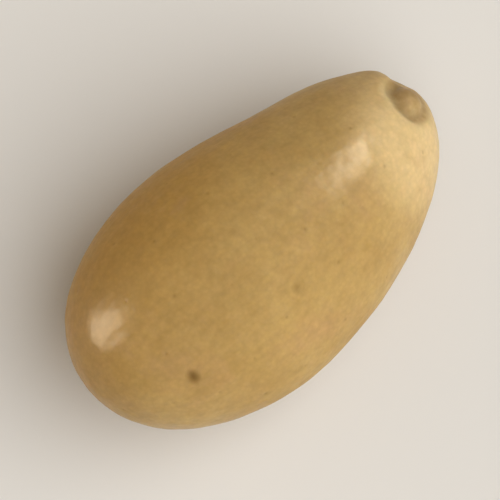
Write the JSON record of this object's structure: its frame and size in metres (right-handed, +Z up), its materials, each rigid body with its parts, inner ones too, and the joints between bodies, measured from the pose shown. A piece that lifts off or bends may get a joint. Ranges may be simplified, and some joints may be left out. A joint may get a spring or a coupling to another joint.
{
  "type": "pine nut kernel",
  "caption": "Shelled pine nut kernel: a smooth cream-tan ovoid, one end blunt and the other narrow with a small button scar, lying on its broad side.",
  "frame": {"origin": "on the surface it lies on, under the middle of its box", "axes": "+X along the kernel from the blunt end towards the narrow end with the scar, +Z up away from the surface, -Y towards its rounder side"},
  "size_m": [0.0106, 0.006, 0.0055],
  "materials": {
    "endosperm": "satin"
  },
  "bodies": {
    "root": {"kernel": "endosperm"}
  },
  "joints": []
}
